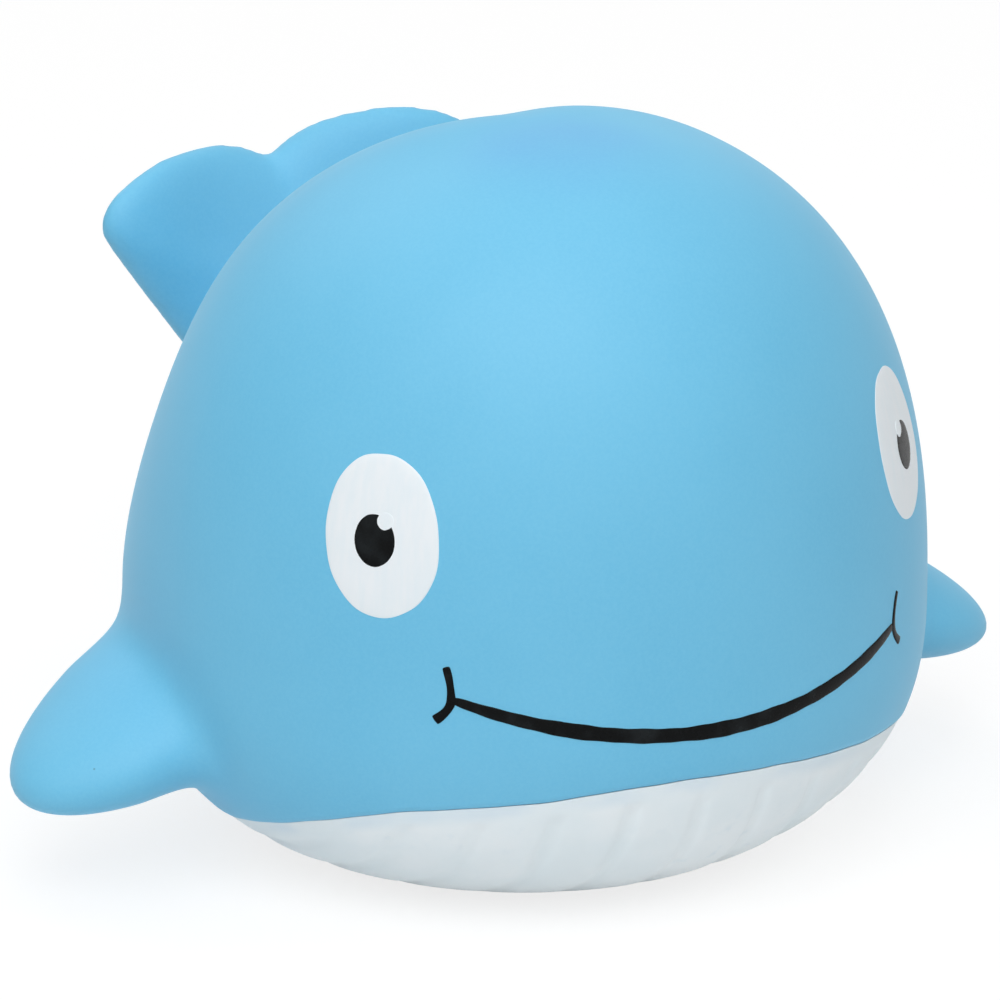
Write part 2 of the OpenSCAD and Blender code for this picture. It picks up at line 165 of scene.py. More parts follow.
class Graph:
    """A node tree that is built one node at a time."""

    def __init__(self, tree):
        self.tree = tree

    def add(self, kind, sockets=(), out=0, **settings):
        """Add a node with its settings, then the values or links of its sockets, and return one output."""
        node = self.tree.nodes.new(kind)
        for name, value in settings.items():
            setattr(node, name, value)
        for key, value in dict(sockets).items():
            if isinstance(value, Wire):
                self.tree.links.new(value.output, node.inputs[key])
            else:
                node.inputs[key].default_value = value
        return Wire(self, node.outputs[out])


def both(operation, on_arrays):
    """A function that takes node wires or arrays."""
    def apply(first, *rest):
        if isinstance(first, Wire):
            return first.math(operation, first, *rest)
        return on_arrays(first, *rest)
    return apply


sine = both("SINE", np.sin)
cosine = both("COSINE", np.cos)
absolute = both("ABSOLUTE", np.abs)
larger = both("MAXIMUM", np.maximum)
smaller = both("MINIMUM", np.minimum)
below = both("LESS_THAN", np.less)


def superellipse(share, power):
    """A quarter of a superellipse: its reach at a share of its other axis."""
    return larger(1 - smaller(share, 1.0) ** power, 0.0) ** (1 / power)


def keel_drop(form):
    """Depth of the underside below the widest ring, if it were not cut flat."""
    rest_share = form["rest half width"] / form["half width"]
    return form["waist height"] / superellipse(rest_share, form["under power"])


def skin_reach(form, turn, height, inset=0.0):
    """Distance of the skin from the Z axis. A turn of 0 is along +X, and a quarter turn along +Y."""
    ahead = sine(turn)
    front = below(ahead, 0.0)
    rear = 1 - front
    along = front * form["head reach"] + rear * form["back reach"] - inset
    plan = front * form["head plan power"] + rear * form["back plan power"]
    across = absolute(cosine(turn)) / (form["half width"] - inset)
    ring = (across ** plan + (absolute(ahead) / along) ** plan) ** (-1 / plan)
    end_power = front * form["brow power"] + rear * form["back power"]
    dome = form["side power"] + (end_power - form["side power"]) * ahead * ahead
    up = larger(height - form["waist height"], 0.0) / (form["dome rise"] - inset)
    down = larger(form["waist height"] - height, 0.0) / (keel_drop(form) - inset)
    sway = form["back sway"] * larger(ahead, 0.0) * cosine(up * form["sway turn"])
    return (ring + sway) * superellipse(up, dome) * superellipse(down, form["under power"])


def on_skin(turn, height, lift=0.0):
    """Points over the skin, lifted off it."""
    reach = skin_reach(BODY, turn, height, -lift)
    return np.stack([reach * np.cos(turn), reach * np.sin(turn), height + 0 * reach], axis=-1)


def step_between(low, high, value):
    """A smooth step from 0 at low to 1 at high."""
    share = np.clip((value - low) / (high - low), 0, 1)
    return share * share * (3 - 2 * share)


def waves(angle, parts):
    """A sum of sine waves, each with its count, its swing and its phase."""
    return sum(swing * np.sin(count * angle + phase) for count, swing, phase in parts)


def line_height(turn, y):
    """Height of the paint line over a place with this turn and y."""
    return LINE_H - LINE_SLOPE * y + waves(turn, LINE_WAVES)


def line_on_skin(turn, inset):
    """Height at which the skin crosses the paint line in each direction."""
    low = np.full(len(turn), 0.5 * MM)
    high = np.full(len(turn), 2 * WAIST_H)
    for halving in range(LINE_HALVINGS):
        middle = (low + high) / 2
        y = skin_reach(BODY, turn, middle, inset) * np.sin(turn)
        under = middle < line_height(turn, y)
        low = np.where(under, middle, low)
        high = np.where(under, high, middle)
    return (low + high) / 2


def new_object(name, mesh, finish=None):
    obj = bpy.data.objects.new(name, mesh)
    bpy.context.scene.collection.objects.link(obj)
    if finish:
        mesh.materials.clear()
        mesh.materials.append(finish)
    return obj


def mesh_of(name, points, faces):
    mesh = bpy.data.meshes.new(name)
    mesh.from_pydata([tuple(p) for p in points], [], faces)
    mesh.validate()
    return mesh


def ring_faces(rows, sides, closed=False):
    """Quads between neighbouring rings of points. A closed set also joins its last ring to its first."""
    last = rows if closed else rows - 1
    return [(j * sides + i, j * sides + (i + 1) % sides,
             (j + 1) % rows * sides + (i + 1) % sides, (j + 1) % rows * sides + i)
            for j in range(last) for i in range(sides)]


def smooth_faces(obj, crease=math.radians(40)):
    """Shade smooth, and keep edges sharper than the crease."""
    mesh = obj.data
    mesh.polygons.foreach_set("use_smooth", [True] * len(mesh.polygons))
    mesh.set_sharp_from_angle(angle=crease)


def outward(mesh):
    """Merge doubles and turn every face outwards."""
    bm = bmesh.new()
    bm.from_mesh(mesh)
    bmesh.ops.remove_doubles(bm, verts=bm.verts, dist=1e-7)
    bmesh.ops.recalc_face_normals(bm, faces=bm.faces)
    bm.to_mesh(mesh)
    bm.free()
    return mesh


def plain(obj):
    """Swap an object's mesh for what its modifiers make of it."""
    graph = bpy.context.evaluated_depsgraph_get()
    mesh = bpy.data.meshes.new_from_object(obj.evaluated_get(graph))
    old = obj.data
    obj.modifiers.clear()
    obj.data = mesh
    bpy.data.meshes.remove(old)
    return obj


def geometry_tree(name, inputs):
    """A geometry tree with named number inputs. Returns its graph, its input wires and its output node."""
    tree = bpy.data.node_groups.new(name, "GeometryNodeTree")
    tree.interface.new_socket("Geometry", in_out="INPUT", socket_type="NodeSocketGeometry")
    tree.interface.new_socket("Geometry", in_out="OUTPUT", socket_type="NodeSocketGeometry")
    for label in inputs:
        tree.interface.new_socket(label, in_out="INPUT", socket_type="NodeSocketFloat")
    graph = Graph(tree)
    start = tree.nodes.new("NodeGroupInput")
    wires = {socket.name: Wire(graph, socket) for socket in start.outputs if socket.name}
    return graph, wires, tree.nodes.new("NodeGroupOutput")


def finish_tree(graph, geometry, end, finish):
    """Give a tree's geometry its material and link it to the output node."""
    realized = graph.add("GeometryNodeRealizeInstances", {"Geometry": geometry})
    painted = graph.add("GeometryNodeSetMaterial", {"Geometry": realized, "Material": finish})
    graph.tree.links.new(painted.output, end.inputs[0])


def run_tree(obj, tree, inputs):
    """Put a geometry tree on an object with these sizes, and keep its plain result."""
    modifier = obj.modifiers.new(tree.name, "NODES")
    modifier.node_group = tree
    for item in tree.interface.items_tree:
        if item.in_out == "INPUT" and item.name in inputs:
            modifier[item.identifier] = inputs[item.name]
    return plain(obj)


# Materials

def material(name):
    """A new material: its graph, its shader and its Object coordinates."""
    made = bpy.data.materials.new(name)
    made.use_nodes = True
    graph = Graph(made.node_tree)
    shader = made.node_tree.nodes["Principled BSDF"]
    where = graph.add("ShaderNodeTexCoord", out="Object")
    return made, graph, shader, where


def feed(graph, shader, **links):
    """Link wires to the shader's sockets, or set their values."""
    for name, value in links.items():
        socket = shader.inputs[name.replace("_", " ")]
        if isinstance(value, Wire):
            graph.tree.links.new(value.output, socket)
        else:
            socket.default_value = value


def noise(graph, where, grain, detail=2.0, rough=0.5):
    """Soft noise with features about one grain long, from 0 to 1."""
    return graph.add("ShaderNodeTexNoise", {"Vector": where, "Scale": 1 / grain, "Detail": detail,
                                            "Roughness": rough})


def stretched(graph, where, scale, turn=(0, 0, 0)):
    return graph.add("ShaderNodeMapping", {"Vector": where, "Scale": scale, "Rotation": turn})


def mix(graph, share, first, second):
    return graph.add("ShaderNodeMix", {0: share, 6: first, 7: second}, out=2, data_type="RGBA")


def bump(graph, height, depth, strength):
    return graph.add("ShaderNodeBump", {"Height": height, "Distance": depth, "Strength": strength})


def span(graph, value, low, high, to_low=0.0, to_high=1.0):
    return graph.add("ShaderNodeMapRange", {"Value": value, 1: low, 2: high, 3: to_low, 4: to_high},
                     interpolation_type="SMOOTHSTEP")


def distance_to(graph, where, place):
    return graph.add("ShaderNodeVectorMath", {0: where, 1: place}, out="Value", operation="DISTANCE")


def srgb(r, g, b):
    """A colour given as 8-bit screen values."""
    def linear(v):
        v = v / 255
        return v / 12.92 if v <= 0.04045 else ((v + 0.055) / 1.055) ** 2.4
    return (linear(r), linear(g), linear(b), 1)


def specks(graph, where, cell, radius, share):
    """Scattered dots: 1 inside a dot. Only a share of the cells has one."""
    near = graph.add("ShaderNodeTexVoronoi", {"Vector": where, "Scale": 1 / cell}, out="Distance")
    tint = graph.add("ShaderNodeTexVoronoi", {"Vector": where, "Scale": 1 / cell}, out="Color")
    pick = graph.add("ShaderNodeSeparateColor", {0: tint})
    return below(near, radius / cell) * below(pick, share)


# A faint bluer smudge near the top of the dome
SMUDGE_AT = (-2 * MM, -9 * MM, 76 * MM)
SMUDGE_FAR = 14 * MM
SMUDGE_NEAR = 2 * MM


def blue_vinyl():
    made, graph, shader, where = material("blue_vinyl")
    cloud = noise(graph, where, 26 * MM, 3)
    grain = noise(graph, where, 0.35 * MM, 2, 0.7)
    tone = mix(graph, span(graph, cloud, 0.3, 0.7), srgb(104, 190, 228), srgb(110, 194, 231))
    near_smudge = span(graph, distance_to(graph, where, SMUDGE_AT), SMUDGE_FAR, SMUDGE_NEAR)
    smudge = near_smudge * span(graph, cloud, 0.2, 0.6)
    tone = mix(graph, smudge * 0.6, tone, srgb(98, 172, 228))
    tone = mix(graph, span(graph, grain, 0.3, 0.7) * 0.2, tone, srgb(134, 206, 236))
    tone = mix(graph, specks(graph, where, 9 * MM, 0.16 * MM, 0.16) * 0.5, tone, srgb(205, 232, 244))
    tone = mix(graph, specks(graph, stretched(graph, where, (1, 1, 1), (0.7, 0.3, 1.9)),
                             12 * MM, 0.14 * MM, 0.2) * 0.5, tone, srgb(60, 110, 140))
    feed(graph, shader, Base_Color=tone, Roughness=span(graph, grain, 0.2, 0.8, 0.5, 0.6),
         Normal=bump(graph, grain, 0.02 * MM, 0.35), Specular_IOR_Level=0.46,
         Sheen_Weight=0.08, Sheen_Roughness=0.4)
    return made


def belly_paint():
    made, graph, shader, where = material("belly_paint")
    streak = noise(graph, stretched(graph, where, (1, 0.12, 1)), 1.6 * MM, 3)
    patch = noise(graph, where, 9 * MM, 3)
    grain = noise(graph, where, 0.5 * MM, 2, 0.7)
    thin = span(graph, streak, 0.55, 0.8) * span(graph, patch, 0.4, 0.7)
    tone = mix(graph, span(graph, patch, 0.3, 0.7), srgb(236, 246, 250), srgb(243, 250, 253))
    tone = mix(graph, thin * 0.4, tone, srgb(212, 231, 242))
    under = graph.add("ShaderNodeAttribute", out="Fac", attribute_name="below_line")
    rim = span(graph, under, 2.2 * MM, 0.6 * MM) * span(graph, patch, 0.35, 0.65)
    tone = mix(graph, rim * 0.45, tone, srgb(205, 228, 242))
    feed(graph, shader, Base_Color=tone, Roughness=span(graph, grain, 0.2, 0.8, 0.5, 0.62),
         Normal=bump(graph, streak + grain * 0.4, 0.03 * MM, 0.4), Specular_IOR_Level=0.4)
    return made


def eye_paint():
    made, graph, shader, where = material("eye_paint")
    brush = noise(graph, stretched(graph, where, (1, 1, 0.1)), 0.9 * MM, 3, 0.6)
    patch = noise(graph, where, 5 * MM, 2)
    tone = mix(graph, span(graph, brush, 0.3, 0.7), srgb(233, 242, 247), srgb(238, 244, 248))
    tone = mix(graph, span(graph, patch, 0.5, 0.8) * 0.25, tone, srgb(226, 239, 247))
    feed(graph, shader, Base_Color=tone, Roughness=span(graph, brush, 0.2, 0.8, 0.38, 0.52),
         Normal=bump(graph, brush, 0.02 * MM, 0.3), Specular_IOR_Level=0.45)
    return made


def black_paint():
    made, graph, shader, where = material("black_paint")
    brush = noise(graph, where, 0.8 * MM, 3, 0.6)
    # Lighter grey patches are painted reflection: they stand in for the gloss's grey reflections on the
    # black paint.
    painted_reflection = noise(graph, where, 3.5 * MM, 2)
    tone = mix(graph, span(graph, painted_reflection, 0.45, 0.75), srgb(9, 11, 12), srgb(28, 32, 34))
    feed(graph, shader, Base_Color=tone, Roughness=span(graph, brush, 0.2, 0.8, 0.2, 0.34),
         Normal=bump(graph, brush, 0.04 * MM, 0.4), Specular_IOR_Level=0.08)
    return made


def squeaker_plastic():
    made, graph, shader, where = material("squeaker_plastic")
    grain = noise(graph, where, 0.6 * MM, 3)
    cloud = noise(graph, where, 7 * MM, 2)
    tone = mix(graph, span(graph, cloud, 0.3, 0.7), srgb(228, 228, 220), srgb(238, 237, 231))
    feed(graph, shader, Base_Color=tone, Roughness=span(graph, grain, 0.2, 0.8, 0.35, 0.5),
         Normal=bump(graph, grain, 0.02 * MM, 0.3))
    return made


def reed_brass():
    made, graph, shader, where = material("reed_brass")
    rolled = noise(graph, stretched(graph, where, (1, 1, 0.05)), 0.12 * MM, 2)
    stain = noise(graph, where, 2.5 * MM, 3)
    tone = mix(graph, span(graph, stain, 0.35, 0.7), srgb(212, 176, 92), srgb(186, 146, 70))
    feed(graph, shader, Base_Color=tone, Metallic=1.0, Roughness=span(graph, rolled, 0.2, 0.8, 0.2, 0.34),
         Normal=bump(graph, rolled, 0.005 * MM, 0.3))
    return made


# Vinyl skin: the body, the fins and the tail as one casting

SKIN_SIDES = 192
SKIN_ROWS = 161
VOXEL = 0.6 * MM


def body_form():
    """The whole body by its skin rule, closed at the top and over its flat base."""
    graph, form, end = geometry_tree("body_form", BODY)
    sheet = graph.add("GeometryNodeMeshGrid", {"Size X": math.tau, "Size Y": 2.0,
                                               "Vertices X": SKIN_SIDES + 1, "Vertices Y": SKIN_ROWS})
    place = graph.add("GeometryNodeInputPosition")
    turn = graph.add("ShaderNodeSeparateXYZ", {0: place}, out="X")
    row = graph.add("ShaderNodeSeparateXYZ", {0: place}, out="Y")
    row_gap = 2 / (SKIN_ROWS - 1)
    drop = keel_drop(form)
    flat_turn = (form["waist height"] / drop).math("ARCSINE", form["waist height"] / drop)
    keel_share = smaller(larger(0 - row, 0.0) / (1 - row_gap), 1.0)
    height = (form["waist height"] + form["dome rise"] * sine(larger(row, 0.0) * (math.pi / 2))
              - drop * sine(flat_turn * keel_share))
    inside_rim = 1 - below(row, -1 + row_gap / 2)
    reach = skin_reach(form, turn, height) * inside_rim
    wrapped = graph.add("ShaderNodeCombineXYZ", {0: reach * cosine(turn), 1: reach * sine(turn), 2: height})
    moved = graph.add("GeometryNodeSetPosition", {"Geometry": sheet, "Position": wrapped})
    closed = graph.add("GeometryNodeMergeByDistance", {"Geometry": moved, "Distance": 1e-6})
    finish_tree(graph, closed, end, None)
    return run_tree(new_object("body_form", bpy.data.meshes.new("body_form")), graph.tree, BODY)


def fin_place(side):
    """Where a unit ball goes to be a fin: side is 1 on the left and -1 on the right."""
    middle = FIN_SPAN / 2 - FIN_LEN / 2 * math.cos(FIN_DROOP) * math.cos(FIN_YAW)
    return (Matrix.Diagonal((side, 1, 1, 1)) @ Matrix.Translation((middle, FIN_BACK, FIN_H))
            @ Matrix.Rotation(-FIN_YAW, 4, "Z") @ Matrix.Rotation(FIN_DROOP, 4, "Y")
            @ Matrix.Diagonal((FIN_LEN / 2, FIN_CHORD / 2, FIN_THICK / 2, 1)))


def fin_form(side):
    """A fin as an ellipsoid whose root lies inside the body."""
    bm = bmesh.new()
    bmesh.ops.create_uvsphere(bm, u_segments=64, v_segments=40, radius=1,
                              matrix=fin_place(side) @ Matrix.Rotation(math.pi / 2, 4, "Y"))
    mesh = bpy.data.meshes.new("fin_form")
    bm.to_mesh(mesh)
    bm.free()
    return outward(mesh)


def cubic_curve(points, steps):
    """Points along a cubic curve, without its end."""
    t = np.arange(steps)[:, None] / steps
    a, b, c, d = (np.array(p) for p in points)
    return (1 - t) ** 3 * a + 3 * t * (1 - t) ** 2 * b + 3 * t * t * (1 - t) * c + t ** 3 * d


def fluke_outline():
    """The tail laid flat, as points across and along it, all the way round."""
    corners = [
        [(0, -ROOT_SINK), (STOCK_HALF_W * QUARTER, -ROOT_SINK), (STOCK_HALF_W, -ROOT_SINK * QUARTER),
         (STOCK_HALF_W, 0)],
        [(STOCK_HALF_W, 0), (STOCK_HALF_W, FLARE_START), (FLUKE_HALF_SPAN - FLARE_IN, TIP_LEN - FLARE_DOWN),
         (FLUKE_HALF_SPAN, TIP_LEN)],
        [(FLUKE_HALF_SPAN, TIP_LEN), (FLUKE_HALF_SPAN + TIP_OUT, TIP_LEN + TIP_UP),
         (LOBE_OFFSET + LOBE_ROUND, LOBE_LEN), (LOBE_OFFSET, LOBE_LEN)],
        [(LOBE_OFFSET, LOBE_LEN), (LOBE_OFFSET - LOBE_ROUND, LOBE_LEN),
         (NOTCH_OPEN, NOTCH_LEN + NOTCH_RISE), (0, NOTCH_LEN)],
    ]
    half = np.concatenate([cubic_curve(c, CURVE_STEPS) for c in corners])
    return np.concatenate([half, [(0, NOTCH_LEN)], half[:0:-1] * (-1, 1)])


def tail_place(x, along, off):
    """Bend the flat tail: the stock leans back and then stands up, and the flukes cup forward."""
    lean = TAIL_LEAN * np.maximum(0, 1 - along / LOBE_LEN)
    sweep = (TAIL_LEAN + lean) / 2
    cup_share = np.sin(np.pi / 2 * np.minimum(1, np.abs(x) / FLUKE_HALF_SPAN)) ** 2
    cup = FLUKE_CUP * cup_share * np.maximum(0, along) / LOBE_LEN
    y = along * np.sin(sweep) - cup + off * np.cos(lean)
    z = along * np.cos(sweep) - off * np.sin(lean)
    return np.stack([x, y, z], axis=-1)


def tail_thickness(share):
    """Half the cushion's thickness, from the stock at a share of 0 to the flukes at 1."""
    return STOCK_HALF_T + (FLUKE_HALF_T - STOCK_HALF_T) * share * share * (3 - 2 * share)


def tail_form():
    """The tail as one cushion, with its far end inside the body."""
    edge = fluke_outline()
    middle = np.array((0, TIP_LEN * SWELL_AT))
    half_round = np.sin(np.linspace(0, np.pi / 2, CUSHION_ROWS))[1:]
    radii = np.concatenate([half_round, half_round[-2::-1]])
    signs = np.concatenate([-np.ones(len(half_round)), np.ones(len(half_round) - 1)])
    flat = middle + radii[:, None, None] * (edge - middle)
    thick = tail_thickness(np.clip(flat[..., 1] / TIP_LEN, 0, 1))
    off = signs[:, None] * thick * np.sqrt(np.maximum(0, 1 - radii[:, None] ** 2))
    rings = tail_place(flat[..., 0], flat[..., 1], off)
    rows, sides = rings.shape[:2]
    mid_thick = tail_thickness(SWELL_AT)
    poles = tail_place(np.zeros(2), np.full(2, middle[1]), np.array((-mid_thick, mid_thick)))
    points = np.concatenate([rings.reshape(-1, 3), poles])
    front, back = rows * sides, rows * sides + 1
    faces = ring_faces(rows, sides)
    faces += [(front, (i + 1) % sides, i) for i in range(sides)]
    start = (rows - 1) * sides
    faces += [(back, start + i, start + (i + 1) % sides) for i in range(sides)]
    to_middle = Vector((0, 0, LOBE_LEN / 2))
    placed = (Matrix.Translation(TAIL_ROOT + to_middle) @ Matrix.Rotation(-TAIL_ROLL, 4, "Y")
              @ Matrix.Translation(-to_middle))
    mesh = mesh_of("tail_form", points, faces)
    mesh.transform(placed)
    return outward(mesh)


def coordinates(mesh):
    """A mesh's points as an array."""
    flat = np.empty(len(mesh.vertices) * 3)
    mesh.vertices.foreach_get("co", flat)
    return flat.reshape(-1, 3)


def edge_ends(mesh):
    """The two points of each edge of a mesh."""
    flat = np.empty(len(mesh.edges) * 2, np.int64)
    mesh.edges.foreach_get("vertices", flat)
    return flat.reshape(-1, 2)


PULL = 0.5


def relaxed(points, edges, weight, rounds):
    """Move each point towards the middle of its neighbours, as far as its weight says."""
    here, there = np.concatenate([edges, edges[:, ::-1]]).T
    count = np.bincount(here, minlength=len(points))[:, None]
    for step in range(rounds):
        total = np.stack([np.bincount(here, points[there, axis], len(points)) for axis in range(3)], 1)
        points = points + PULL * weight[:, None] * (total / count - points)
    return points


# The shares of a point's distance from the body's middle between which the skin is looked for
SEAT_LOW = 0.2
SEAT_HIGH = 1.3
SEAT_HALVINGS = 30


def seated(points):
    """Each point moved on to the skin along the line from the body's middle, and how far out it was."""
    middle = np.array((0, 0, WAIST_H))
    ray = points - middle
    low = np.full(len(points), SEAT_LOW)
    high = np.full(len(points), SEAT_HIGH)
    for halving in range(SEAT_HALVINGS):
        share = (low + high) / 2
        probe = middle + ray * share[:, None]
        reach = skin_reach(BODY, np.arctan2(probe[:, 1], probe[:, 0]), probe[:, 2])
        inside = np.hypot(probe[:, 0], probe[:, 1]) < reach
        low = np.where(inside, share, low)
        high = np.where(inside, high, share)
    share = (low + high) / 2
    return middle + ray * share[:, None], np.linalg.norm(ray, axis=1) * (1 - share)


def joined(name, meshes):
    """One mesh that holds several, not yet merged."""
    bm = bmesh.new()
    for mesh in meshes:
        bm.from_mesh(mesh)
    mesh = bpy.data.meshes.new(name)
    bm.to_mesh(mesh)
    bm.free()
    return mesh


# A limb is what lies further off the body's skin than LIMB_OUT, and its root is the band up to ROOT_OUT.
# Its fillet is full up to ROOT_NEAR from the root and ends at ROOT_FAR.
LIMB_OUT = 0.4 * MM
ROOT_OUT = 1.2 * MM
ROOT_NEAR = 2 * MM
ROOT_FAR = 6.5 * MM
STEP_ROUNDS = 2
FIN_ROOT_ROUNDS = 55
TAIL_ROOT_ROUNDS = 50
RIM_ROUNDS = 16
LIP_DROPS = (0.15 * MM, 0.35 * MM, 0.6 * MM)
LIP_IN = 0.25 * MM


def on_fin(points, side):
    """Each point moved on to a fin's surface."""
    placed = np.array(fin_place(side))
    back = np.linalg.inv(placed)
    ball = points @ back[:3, :3].T + back[:3, 3]
    ball /= np.linalg.norm(ball, axis=1)[:, None]
    return ball @ placed[:3, :3].T + placed[:3, 3]


def on_mesh(points, mesh):
    """Each point moved to the nearest place on a mesh."""
    tree = BVHTree.FromPolygons([v.co for v in mesh.vertices], [tuple(p.vertices) for p in mesh.polygons])
    return np.array([tree.find_nearest(point)[0] for point in points])


def distance_from(points, marks):
    """How far each point is from the nearest mark."""
    tree = KDTree(len(marks))
    for index, mark in enumerate(marks):
        tree.insert(mark, index)
    tree.balance()
    return np.array([tree.find(point)[2] for point in points])


def filleted_skin():
    """The outer surface of the casting: body, fins and tail run into each other with soft roots."""
    body = body_form()
    tail = tail_form()
    skin = new_object("vinyl_skin", joined("vinyl_skin", [body.data, fin_form(1), fin_form(-1), tail]))
    bpy.data.objects.remove(body)
    remesh = skin.modifiers.new("one_casting", "REMESH")
    remesh.mode = "VOXEL"
    remesh.voxel_size = VOXEL
    plain(skin)
    points = coordinates(skin.data)
    edges = edge_ends(skin.data)
    points = relaxed(points, edges, np.ones(len(points)), STEP_ROUNDS)
    home, out = seated(points)
    limb = out > LIMB_OUT
    at_tail = points[:, 1] > np.abs(points[:, 0])
    for side in (1, -1):
        fin = limb & ~at_tail & (points[:, 0] * side > 0)
        home[fin] = on_fin(points[fin], side)
    flukes = limb & at_tail
    home[flukes] = on_mesh(points[flukes], tail)
    root = points[limb & (out < ROOT_OUT)]
    near_root = 1 - step_between(ROOT_NEAR, ROOT_FAR, distance_from(points, root))
    points = relaxed(home, edges, flukes * 1.0, RIM_ROUNDS)
    points = relaxed(points, edges, near_root, FIN_ROOT_ROUNDS)
    points = relaxed(points, edges, near_root * at_tail, TAIL_ROOT_ROUNDS)
    skin.data.vertices.foreach_set("co", points.ravel())
    return skin


def over_line(points):
    """Height of each point over the paint line."""
    turn = np.arctan2(points[:, 1], points[:, 0])
    return points[:, 2] - line_height(turn, points[:, 1])


def cut_at_line(bm):
    """Cut the casting off at the paint line and round its lower edge in."""
    points = np.array([v.co for v in bm.verts])
    for vert, height in zip(bm.verts, over_line(points)):
        vert.co.z = height
    for drop in (0, *LIP_DROPS):
        bmesh.ops.bisect_plane(bm, geom=[*bm.verts, *bm.edges, *bm.faces], dist=1e-7, plane_co=(0, 0, drop),
                               plane_no=(0, 0, 1), clear_inner=drop == 0)
    points = np.array([v.co for v in bm.verts])
    height = points[:, 2].copy()
    turn = np.arctan2(points[:, 1], points[:, 0])
    points[:, 2] += line_height(turn, points[:, 1])
    tuck = LIP_IN * np.clip(1 - height / LIP_DROPS[-1], 0, 1) ** 2
    points[:, :2] *= (1 - tuck / np.hypot(points[:, 0], points[:, 1]))[:, None]
    for vert, point in zip(bm.verts, points):
        vert.co = point


def inner_wall(bm, sides=160, rows=48):
    """Add the casting's inner wall above the paint line, and bridge it to the outer edge."""
    rim = [e for e in bm.edges if e.is_boundary]
    turn = np.arange(sides) / sides * math.tau
    foot = line_on_skin(turn, WALL)
    top = TOP_H - WALL
    share = np.sin(np.arange(rows) / rows * math.pi / 2)
    height = foot + share[:, None] * (top - foot)
    reach = skin_reach(BODY, turn + 0 * height, height, WALL)
    rings = np.stack([reach * np.cos(turn), reach * np.sin(turn), height], -1)
    verts = [[bm.verts.new(p) for p in ring] for ring in rings]
    peak = bm.verts.new((0, 0, top))
    for low, high in zip(verts, verts[1:]):
        for i in range(sides):
            bm.faces.new((low[i], high[i], high[(i + 1) % sides], low[(i + 1) % sides]))
    for i in range(sides):
        bm.faces.new((verts[-1][i], peak, verts[-1][(i + 1) % sides]))
    foot_edges = [bm.edges.get((verts[0][i], verts[0][(i + 1) % sides])) for i in range(sides)]
    bmesh.ops.bridge_loops(bm, edges=rim + foot_edges)


def make_skin(finish):
    skin = filleted_skin()
    bm = bmesh.new()
    bm.from_mesh(skin.data)
    cut_at_line(bm)
    inner_wall(bm)
    bm.to_mesh(skin.data)
    bm.free()
    skin.data.materials.clear()
    skin.data.materials.append(finish)
    smooth_faces(skin)
    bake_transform(skin)
    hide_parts("crown", "flex_wall", "body_shell", "right_fin", "left_fin", "tail_flukes")


# Belly: the white underside with its pleats, its flat base and the squeaker's hole

BELLY_IN = 0.2 * MM
BELLY_SIDES = 720
RIM_H = 1.0 * MM
PLUG_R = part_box("squeaker_plug")[1].x
PLUG_GAP = 0.1 * MM
RECESS_R = PLUG_R + PLUG_GAP
RECESS_EDGE = 0.3 * MM
RECESS_DEPTH = 2 * MM
NECK_R = 7 * MM + PLUG_GAP
FLOOR_T = 4.2 * MM
PLEATS = {
    "head radius": 38 * MM,
    "pitch": math.radians(11.5),
    "middle shift": -0.8 * MM,
    "groove width": 0.8 * MM,
    "groove depth": 0.4 * MM,
}
PLEAT_START = 1.2 * MM
PLEAT_FULL = 3.2 * MM


def belly_rings(turn):
    """Rings of the belly from the paint line down, under the base, through the hole and back up inside."""
    line = line_on_skin(turn, BELLY_IN)
    rings = []
    outer_rows = 64
    for j in range(outer_rows + 1):
        height = line + (RIM_H - line) * j / outer_rows
        reach = skin_reach(BODY, turn, height, BELLY_IN)
        rings.append((reach, height))
    rim_reach = skin_reach(BODY, turn, np.full_like(turn, RIM_H), BELLY_IN)
    base_reach = skin_reach(BODY, turn, np.zeros_like(turn), BELLY_IN)
    for t in (0.2, 0.4, 0.6, 0.8, 1.0):
        reach = (1 - t) ** 2 * rim_reach + 2 * t * (1 - t) * base_reach + t * t * (base_reach - RIM_H)
        rings.append((reach, np.full_like(turn, RIM_H * (1 - t) ** 2)))
    foot = base_reach - RIM_H
    for t in np.linspace(0.2, 1, 5):
        rings.append((foot + (RECESS_R + RECESS_EDGE - foot) * t, 0 * turn))
    for r, z in ((RECESS_R + RECESS_EDGE * 0.3, RECESS_EDGE * 0.3), (RECESS_R, RECESS_EDGE),
                 (RECESS_R, RECESS_DEPTH), (NECK_R, RECESS_DEPTH), (NECK_R, FLOOR_T)):
        rings.append((r + 0 * turn, z + 0 * turn))
    in_foot = skin_reach(BODY, turn, np.full_like(turn, FLOOR_T), WALL)
    for t in (0.5, 1.0):
        rings.append((NECK_R + (in_foot - NECK_R) * t, FLOOR_T + 0 * turn))
    in_line = line_on_skin(turn, WALL)
    for t in np.linspace(0.1, 1, 10):
        height = np.maximum(FLOOR_T, FLOOR_T + (in_line - FLOOR_T) * t)
        rings.append((skin_reach(BODY, turn, height, WALL), height))
    return np.array([np.stack([r * np.cos(turn), r * np.sin(turn), z], -1) for r, z in rings]), outer_rows


